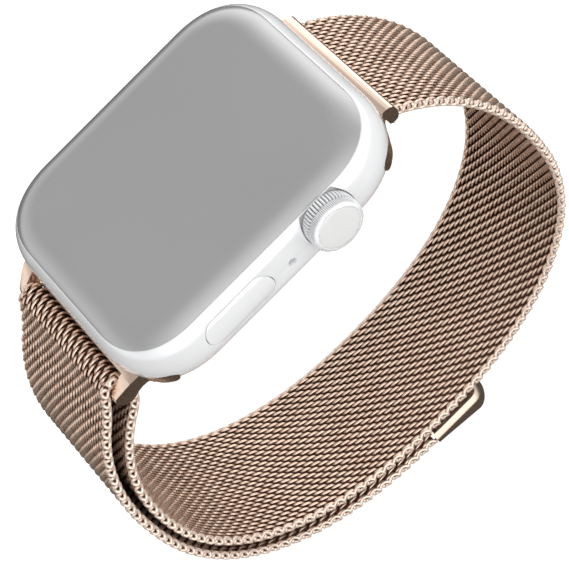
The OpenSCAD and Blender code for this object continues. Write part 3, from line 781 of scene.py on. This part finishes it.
def tube(path, radius, sides, ref=(1.0, 0.0, 0.0)):
    """Rings of points round a path that never runs along ref."""
    tangent = np.gradient(path, axis=0)
    tangent /= np.linalg.norm(tangent, axis=1)[:, None]
    ref = np.array(ref)
    u = ref - (tangent @ ref)[:, None] * tangent
    u /= np.linalg.norm(u, axis=1)[:, None]
    v = np.cross(tangent, u)
    a = (2 * np.pi * (np.arange(sides) + 0.5) / sides)[None, :, None]
    return path[:, None, :] + radius * (np.cos(a) * u[:, None, :] + np.sin(a) * v[:, None, :])


def coil_path(phase, side, per_turn=12):
    """One flat coil across the strap, centred on t = 0, shifted by phase turns."""
    half = STRAP_W / 2 - 0.55
    turns = 2 * half / PITCH
    a = np.linspace(0, 2 * np.pi * turns, int(turns * per_turn) + 1)
    x = -half + PITCH * a / (2 * np.pi)
    a = a - 2 * np.pi * phase
    x = np.clip(x + PITCH / (2 * np.pi) * STRAIGHT / 2 * np.sin(2 * a), -half - 0.1, half + 0.1)
    s = np.sin(a)
    return np.stack([x, -COIL_A * np.cos(a), side * COIL_B * np.sign(s) * np.abs(s) ** 0.9], 1)


# one wire end, as (along the strap, through it, inwards from the edge): a flat spiral, like a breaking wave
HOOK = np.array([
    (0.42, 0.44, 0.80), (0.62, 0.38, 0.45), (0.80, 0.16, 0.20), (0.74, -0.20, 0.06), (0.42, -0.41, 0.0),
    (-0.05, -0.45, 0.0), (-0.50, -0.38, 0.0), (-0.80, -0.16, 0.0), (-0.84, 0.12, 0.0), (-0.66, 0.36, 0.02),
    (-0.30, 0.45, 0.06), (0.02, 0.34, 0.14), (0.14, 0.10, 0.24), (0.02, -0.08, 0.34)])


def hook_path(edge, side, count=34):
    """A wire end curled against one edge."""
    s = np.linspace(0, len(HOOK) - 1, count)
    i = np.clip(s.astype(int), 0, len(HOOK) - 2)
    p = np.pad(HOOK, ((1, 1), (0, 0)), mode="edge")
    k = catmull(p[i], p[i + 1], p[i + 2], p[i + 3], (s - i)[:, None])
    lean = HOOK_LEAN * (k[:, 1] / HOOK_B) ** 2
    x = edge * (STRAP_W / 2 - HOOK_R + 0.03 - k[:, 2] - lean)
    return np.stack([x, side * k[:, 0], side * k[:, 1]], 1)


def tube_faces(rings, sides):
    """The quads along a tube and its two end caps."""
    i = np.arange(rings - 1)[:, None] * sides
    k = np.arange(sides)[None, :]
    k2 = (k + 1) % sides
    quads = np.stack([i + k, i + k2, i + sides + k2, i + sides + k], -1).reshape(-1, 4)
    caps = np.array([np.arange(sides)[::-1], (rings - 1) * sides + np.arange(sides)])
    return quads, caps


def mesh_from_arrays(name, verts, quads, caps, index, height, materials):
    """A mesh of many quads and caps, each with its material, and a height for every point."""
    sides, faces = caps.shape[1], len(quads) + len(caps)
    corners = np.concatenate([quads.ravel(), caps.ravel()])
    starts = np.concatenate([np.arange(len(quads)) * 4, quads.size + np.arange(len(caps)) * sides])
    mesh = bpy.data.meshes.new(name)
    mesh.vertices.add(len(verts))
    mesh.vertices.foreach_set("co", verts.astype(np.float32).ravel())
    mesh.loops.add(len(corners))
    mesh.loops.foreach_set("vertex_index", corners.astype(np.int32))
    mesh.polygons.add(faces)
    mesh.polygons.foreach_set("loop_start", starts.astype(np.int32))
    mesh.polygons.foreach_set("use_smooth", np.ones(faces, bool))
    for material in materials:
        mesh.materials.append(material)
    mesh.polygons.foreach_set("material_index", index.astype(np.int32))
    mesh.attributes.new("height", "FLOAT", "POINT").data.foreach_set("value", height.astype(np.float32))
    mesh.update(calc_edges=True)
    mesh.validate()
    ob = bpy.data.objects.new(name, mesh)
    bpy.context.scene.collection.objects.link(ob)
    return ob


def weave(name, curve, start, end, materials, side=1, sides=6):
    """Coils, wire ends and a dark sheet of painted shade in the middle, from start to end along a curve."""
    count = int(round((end - start) / STEP))
    points, heights, quads, caps, quad_index, cap_index = [], [], [], [], [], []

    def add(path, radius, centres, slot):
        """Copies of one wire, centred along the strap. Each copy's points are numbered after all before it."""
        flat = tube(path, radius, sides).reshape(-1, 3)
        q, c = tube_faces(len(path), sides)
        copies = np.repeat(flat[None], len(centres), 0)
        copies[:, :, 1] += np.asarray(centres)[:, None]
        shift = sum(len(p) for p in points) + np.arange(len(centres))[:, None, None] * len(flat)
        points.append(copies.reshape(-1, 3))
        quads.append((q[None] + shift).reshape(-1, 4))
        caps.append((c[None] + shift).reshape(-1, sides))
        quad_index.append(np.full(len(quads[-1]), slot))
        cap_index.append(np.full(len(caps[-1]), slot))
        # how far each point stands proud, which sets the painted shade and painted highlight of the wire
        proud = np.abs(copies[..., 2]) / (COIL_B + WIRE_R)
        if slot == WIRE_ENDS:
            # the wire ends get a painted highlight towards the strap's outer edge
            outward = (np.abs(copies[..., 0]) - (STRAP_W / 2 - 1.15)) / 0.6
            proud = np.maximum(0.7 * proud, outward)
        heights.append(np.clip(proud, 0, 1).reshape(-1))

    for phase in (0, 1):
        centres = [start + (k + 0.5) * STEP for k in range(phase, count, 2)]
        add(coil_path(phase * 0.5, side), WIRE_R, centres, WIRE)
    for edge in (1, -1):
        add(hook_path(edge, side), HOOK_R, [start + (k + 1.0) * STEP for k in range(0, count, 2)], WIRE_ENDS)

    # a dark sheet of painted shade in the middle of the weave, standing in for its shaded inner coils, seen only as
    # the dark between the wires
    w, h, rings = STRAP_W / 2 - 0.62, CORE_SHADE_B, max(2, int((end - start) / 0.8))
    corners = ((-w, -h), (w, -h), (w, h), (-w, h))
    shade_sheet = np.array([(x, t, z) for t in np.linspace(start, end, rings) for x, z in corners])
    shade_sheet_faces = np.concatenate(tube_faces(rings, 4))[:, ::-1] + sum(len(p) for p in points)
    points.append(shade_sheet)
    heights.append(np.zeros(len(shade_sheet)))
    quads.append(shade_sheet_faces)
    quad_index.append(np.full(len(shade_sheet_faces), CORE_SHADE))

    p = np.concatenate(points)
    verts = curve.place(p[:, 0], p[:, 1], p[:, 2]) * MM
    index = np.concatenate(quad_index + cap_index)
    ob = mesh_from_arrays(name, verts, np.concatenate(quads), np.concatenate(caps), index,
                          np.concatenate(heights), materials)
    return ob


def build_strap(materials):
    """The strap in lengths of whole pairs of coils, so that each length takes up the pattern of the last."""
    pair = 2 * STEP
    begin, stop = 0.25, LOOP.length + 0.1
    third = round((stop - begin) / (3 * pair)) * pair
    tail = RETURN.length - 7 * pair
    first = tail - pair * int((tail + 0.2) / pair)
    middle = first + pair * round((tail - first) / (2 * pair))
    for name, curve, start, end, side, node in (
            ("mesh_loop_a", LOOP, begin, begin + third, 1, "strap_loop"),
            ("mesh_loop_b", LOOP, begin + third, begin + 2 * third, 1, "strap_loop"),
            ("mesh_loop_c", LOOP, begin + 2 * third, stop, 1, "strap_loop"),
            ("mesh_return_a", RETURN, first, middle, RETURN_SIDE, "strap_return"),
            ("mesh_return_b", RETURN, middle, tail, RETURN_SIDE, "strap_return")):
        ob = weave(name, curve, start, end, materials, side)
        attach(ob, "strap")
        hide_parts(node)
    lower = weave("mesh_tail", RETURN, tail, RETURN.length - 0.02, materials, RETURN_SIDE)
    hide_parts("strap_tail")
    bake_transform(lower)

# ------------------------------------------------------------------ latch springs


def build_latch_spring(name, sign, node, material):
    """A small coil spring with closed ends, built at one length: nothing here shortens it as its latch draws back.
    """
    wire, radius, turns, sides = 0.06, 0.35, 3.6, 10
    low, high, travel = SLOT_Z - 0.25, SLOT_Z + 0.72, 0.5
    f = np.linspace(0, 1, 110)
    a = 2 * np.pi * turns * f
    rise = np.clip((f - 0.14) / 0.72, 0, 1)
    z = low + wire + (high - low - 2 * wire) * rise
    path = np.stack([radius * np.cos(a), sign * RELEASE_Y + radius * np.sin(a), z], 1)
    rings = tube(path, wire, sides, (0.0, 0.0, 1.0))
    quads, caps = tube_faces(len(path), sides)
    ob = clean(new_object(name, rings.reshape(-1, 3), quads.tolist() + caps.tolist()))
    finish_piece(ob, material, "strap", node)
    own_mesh(ob)

# ------------------------------------------------------------------ clasp


def clasp_ring(y, low, high, half):
    """The clasp's section at y: a sloped, rounded rim above, and a small round below."""
    rim, r = min(1.25, 0.72 * (high - low)), min(0.6, 0.24 * (high - low))
    lean, power = 0.85 * rim, 1.7
    side = [(half - lean * (1 - math.sin(a) ** power), high - rim * (1 - math.cos(a) ** power))
            for a in np.linspace(0, math.pi / 2, 14)]
    side += arc(half - r, low + r, r, 0, -math.pi / 2, 10)
    return [(x, y, z) for x, z in side] + [(-x, y, z) for x, z in reversed(side)]


def build_clasp(material):
    """A plate: thin where the strap meets it, thicker and rounded in plan at its free end."""
    y0, y1, round_end = CLASP_Y0, CLASP_Y0 + CLASP_LEN, CLASP_END_R
    top = -(LOOP_LOW + HALF_T + 0.4)
    # it starts as thick as the strap that it takes over from
    share = (1 - (abs(y0) / RETURN_LEFT) ** UPPER_POWER) ** (1 / UPPER_POWER)
    first = RETURN_Z - (RETURN_LOW + RETURN_Z) * share - HALF_T
    slope = math.tan(math.radians(CLASP_SLOPE))
    half = STRAP_W / 2 + 0.15
    turn = y1 - round_end
    ys = [y0, y0 + 0.06, y0 + 0.2, *np.linspace(y0 + 0.8, turn, 12)]
    ys += [turn + round_end * math.sin(math.radians(a)) for a in np.linspace(0, 88.5, 22)[1:]]
    verts = []
    for y in ys:
        drop = 1 - math.sqrt(1 - (max(0.0, y - turn) / round_end) ** 2)
        low = first - (min(y, turn) - y0) * slope + 2.2 * drop + max(0.0, 0.12 - 2 * (y - y0))
        ring = clasp_ring(y, low, top - 0.55 * drop, half - round_end * drop)
        verts += ring
    quads, caps = tube_faces(len(ys), len(ring))
    ob = clean(new_object("clasp_body", verts, quads.tolist() + caps.tolist()))
    # the seat that the strap's end lies in
    w, r, far = half - 0.5, 1.8, y1 - 2.7
    seat = [(-w, y0 + 0.3), (w, y0 + 0.3)]
    seat += arc(w - r, far, r, 0, math.pi / 2, 10) + arc(r - w, far, r, math.pi / 2, math.pi, 10)
    boolean(ob, [prism("seat", seat, "z", top - 0.42, top + 5)])
    soften(ob, 0.05, 2, angle=50, shade=40)
    finish_piece(ob, material, "clasp", "clasp_shell")

# ------------------------------------------------------------------ studio

# the watch is shown held up, with room below it for the clasp to swing down, in metres
FLOOR_GAP = 0.022
# what shiny faces see: brightness by height above the horizon, and soft glows,
# each as (towards, spread in degrees, strength)
SHINY_SKY = [(0.0, 0.03), (0.05, 0.32), (0.14, 0.70), (0.42, 0.68), (0.62, 0.42), (1.0, 0.38)]
SHINY_GLOWS = [
    ((-0.63, 0.77, 0.02), 62, 1.75),       # towards 12 o'clock
    ((0.88, 0.0, 0.47), 75, 1.6),          # towards the crown
    ((-0.63, -0.77, 0.02), 62, 0.5),       # towards 6 o'clock
]
# what lights everything else
MATTE_SKY = [(0.0, 0.24), (1.0, 0.36)]
MATTE_GLOWS = [((0.55, 0.6, 0.4), 110, 0.98)]
# place in metres, width, height and power in watts
LAMPS = {
    "softbox_12": ((-0.36, 0.38, 0.11), 0.26, 0.22, 0.9),
    "softbox_crown": ((0.26, 0.0, 0.42), 0.16, 0.42, 0.8),
    "softbox_6": ((-0.30, -0.42, 0.12), 0.22, 0.18, 0.45),
}
# the camera, solved from the edges of the case and the strap
CAMERA_AT = (0.2049, 0.0026, 0.2320)
CAMERA_RIGHT, CAMERA_DOWN = (0.5442, 0.7072, -0.4514), (0.5541, -0.7070, -0.4395)
# the focal length was solved in the photo's pixels
FOCAL_PIXELS, PHOTO_WIDTH, CAMERA_SENSOR = 2500.9, 569, 36.0
CAMERA_LENS = FOCAL_PIXELS / PHOTO_WIDTH * CAMERA_SENSOR


def build_floor():
    """A pale floor, which shiny faces see as a dark card."""
    bpy.ops.mesh.primitive_plane_add(size=8.0, location=(0, 0, cad_box[0][2] - FLOOR_GAP))
    floor = bpy.context.object
    floor.name = "floor"
    n = Nodes("studio_floor", Roughness=0.9, Emission_Color=(1, 1, 1, 1), Emission_Strength=0.62)
    n.tint(n.noise(3.0), (0.60, 0.60, 0.60), (0.62, 0.62, 0.62))
    dark, path, mix = n.new("BsdfDiffuse"), n.new("LightPath"), n.new("MixShader")
    dark.inputs["Color"].default_value = (0.07, 0.058, 0.048, 1)
    n.link(path.outputs["Is Glossy Ray"], mix.inputs[0])
    n.link(n.shader.outputs[0], mix.inputs[1])
    n.link(dark.outputs[0], mix.inputs[2])
    n.link(mix.outputs[0], n.tree.nodes["Material Output"].inputs["Surface"])
    floor.data.materials.append(n.material)


def build_sky():
    """White to the camera, and two soft skies for shiny faces and for all other light."""
    world = bpy.data.worlds.new("studio")
    bpy.context.scene.world = world
    world.use_nodes = True
    tree = world.node_tree
    link = tree.links.new
    coords = tree.nodes.new("ShaderNodeTexCoord").outputs["Generated"]

    def math_node(operation, a, b):
        """A socket combined with another socket or a number."""
        m = tree.nodes.new("ShaderNodeMath")
        m.operation = operation
        link(a, m.inputs[0])
        if isinstance(b, float):
            m.inputs[1].default_value = b
        else:
            link(b, m.inputs[1])
        return m.outputs[0]

    def glow(towards, spread, strength):
        dot = tree.nodes.new("ShaderNodeVectorMath")
        dot.operation = "DOT_PRODUCT"
        dot.inputs[1].default_value = Vector(towards).normalized()
        link(coords, dot.inputs[0])
        near = tree.nodes.new("ShaderNodeMapRange")
        near.inputs["From Min"].default_value = math.cos(math.radians(spread))
        link(dot.outputs["Value"], near.inputs["Value"])
        return math_node("MULTIPLY", math_node("POWER", near.outputs[0], 2.0), strength)

    def sky(stops, glows):
        xyz = tree.nodes.new("ShaderNodeSeparateXYZ")
        link(coords, xyz.inputs[0])
        ramp = tree.nodes.new("ShaderNodeValToRGB")
        fill_ramp(ramp.color_ramp.elements, [(at, (v, v, v)) for at, v in stops])
        link(xyz.outputs["Z"], ramp.inputs[0])
        total = ramp.outputs[0]
        for values in glows:
            total = math_node("ADD", total, glow(*values))
        return total

    path = tree.nodes.new("ShaderNodeLightPath")

    def mix_for(ray, otherwise):
        """A mix node whose second colour only one kind of ray sees."""
        mix = tree.nodes.new("ShaderNodeMixRGB")
        link(path.outputs[ray], mix.inputs[0])
        link(otherwise, mix.inputs[1])
        return mix

    light = mix_for("Is Glossy Ray", sky(MATTE_SKY, MATTE_GLOWS))
    link(sky(SHINY_SKY, SHINY_GLOWS), light.inputs[2])
    seen = mix_for("Is Camera Ray", light.outputs[0])
    seen.inputs[2].default_value = (1, 1, 1, 1)
    link(seen.outputs[0], tree.nodes["Background"].inputs["Color"])


def build_lamps():
    for name, (at, width, height, power) in LAMPS.items():
        light = bpy.data.lights.new(name, "AREA")
        light.shape = "RECTANGLE"
        light.size, light.size_y = width, height
        light.energy = power
        ob = bpy.data.objects.new(name, light)
        ob.location = at
        ob.rotation_euler = (-Vector(at)).to_track_quat("-Z", "Y").to_euler()
        ob.visible_glossy = False
        bpy.context.scene.collection.objects.link(ob)


def build_camera():
    cam = bpy.data.cameras.new("camera")
    ob = bpy.data.objects.new("camera", cam)
    bpy.context.scene.collection.objects.link(ob)
    right = Vector(CAMERA_RIGHT).normalized()
    back = right.cross(-Vector(CAMERA_DOWN)).normalized()
    place = Matrix((right, back.cross(right), back)).transposed().to_4x4()
    place.translation = Vector(CAMERA_AT)
    ob.matrix_world = place
    cam.sensor_fit = "HORIZONTAL"
    cam.sensor_width, cam.lens = CAMERA_SENSOR, CAMERA_LENS
    cam.clip_start, cam.clip_end = 0.01, 20.0
    bpy.context.scene.camera = ob
    bpy.context.scene.view_settings.view_transform = "Standard"

# ------------------------------------------------------------------ the whole


def paint_inside(silver, steel, clasp):
    """Materials for the CAD nodes that stay, most of them inside."""
    rubber = moulded("black_rubber", (0.02, 0.02, 0.022), 0.65)
    moulding = moulded("dark_moulding", (0.03, 0.03, 0.033), 0.5)
    board = board_material()
    copper = metal("copper_winding", (0.80, 0.42, 0.24), 0.35, grain=1800.0, stretch=(1, 1, 0.1), bump=0.3)
    paints = [
        (rubber, "display_seal back_seal speaker_mesh crown_oring side_button_seal"),
        (moulding, "light_barrier speaker_module microphone crown_encoder"),
        (board, "sensor_board main_board"),
        (copper, "touch_layer display_flex charging_coil"),
        (steel, "charging_magnet shield_can board_screws haptic_motor crown_shaft crown_bushing crown_switch "
                "side_button_stem side_button_switch latch_top latch_bottom strap_anchor_pin clasp_magnets"),
        (silver, "release_button_top release_button_bottom"),
        (clasp, "clasp_plate"),
        (dark_lens(), "back_crystal"),
        (moulded("panel", (0.015, 0.015, 0.017), 0.15, coat=0.5), "display_panel"),
        (moulded("back_shell", (0.80, 0.80, 0.81), 0.25, coat=0.6), "back_cover"),
        (moulded("led_lens", (0.55, 0.75, 0.35), 0.2, coat=1.0), "sensor_leds"),
        (moulded("photodiode", (0.03, 0.03, 0.07), 0.2, coat=0.8), "photodiodes"),
        (moulded("battery_foil", (0.05, 0.05, 0.055), 0.4, coat=0.3), "battery"),
        (moulded("tip_plastic", (0.65, 0.62, 0.55), 0.45), "crown_push_tip"),
    ]
    for material, names in paints:
        for name in names.split():
            paint(nodes[name], material)


def main():
    build_camera()
    silver, rose, clasp = case_metal(), rose_metal(), clasp_metal()
    steel = metal("satin_steel", (0.62, 0.62, 0.63), 0.32)
    build_case(silver)
    build_crystal(crystal_glass())
    build_side_key(silver)
    build_crown(crown_gloss())
    build_adapter_top(rose)
    build_adapter_bottom(rose)
    build_strap([mesh_wire(), wire_ends(), weave_core_painted_shade()])
    build_clasp(clasp)
    paint_inside(silver, steel, clasp)
    build_latch_spring("spring_12", 1, "latch_spring_top", steel)
    build_latch_spring("spring_6", -1, "latch_spring_bottom", steel)
    build_floor()
    build_sky()
    build_lamps()


main()
